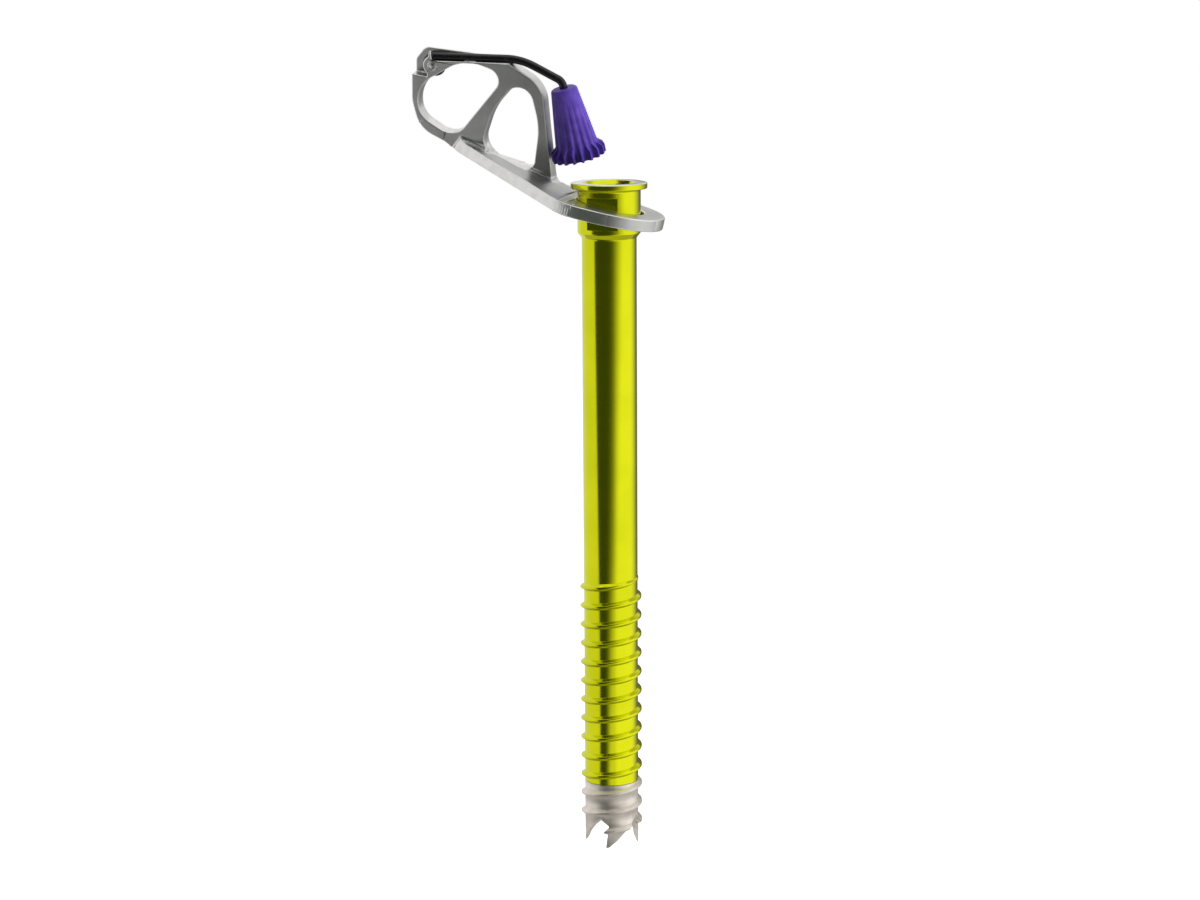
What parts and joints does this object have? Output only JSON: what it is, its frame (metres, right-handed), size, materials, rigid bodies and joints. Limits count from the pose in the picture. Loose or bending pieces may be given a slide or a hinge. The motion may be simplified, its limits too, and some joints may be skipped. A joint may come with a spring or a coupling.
{
  "type": "ice climbing screw",
  "caption": "Ice screw with a threaded aluminium tube, steel cutting teeth, a bent hanger and a folding crank with a turning knob.",
  "frame": {"origin": "on the tube's axis, where the foot of the thick head meets the shank", "axes": "+Z along the tube's axis, from the teeth to the flange; the hanger points to -X; the milled flats face +Y and -Y"},
  "size_m": [0.0824, 0.036, 0.2521],
  "materials": {
    "tube": "lime anodised, satin",
    "cutting_steel": "bare satin steel",
    "hanger": "satin, bright tumbled edges",
    "bright_steel": "bright",
    "black_wire": "black, half gloss",
    "knob": "purple, moulded"
  },
  "bodies": {
    "tube": {"screw_tube": "tube", "cutting_head": "cutting_steel"},
    "hanger": {"hanger": "hanger", "pivot_rivet": "bright_steel"},
    "crank": {"crank_wire": "black_wire", "knob_washer": "bright_steel", "knob_clip": "bright_steel"},
    "knob": {"crank_knob": "knob"}
  },
  "joints": [
    {"name": "hanger_rock", "type": "hinge", "parent": "tube", "child": "hanger", "pos_m": [0, 0, 0.0079], "axis": [0, 1, 0], "range_deg": [-25.2, 0]},
    {"name": "crank_fold", "type": "hinge", "parent": "hanger", "child": "crank", "pos_m": [-0.05687, 0.00391, 0.05248], "axis": [-0.1059, -0.9613, -0.2545], "range_deg": [0, 170]},
    {"name": "knob_spin", "type": "hinge", "parent": "crank", "child": "knob", "pos_m": [-0.01274, 0.00369, 0.03492], "axis": [0.1554, 0.2368, -0.9591], "continuous": true}
  ]
}
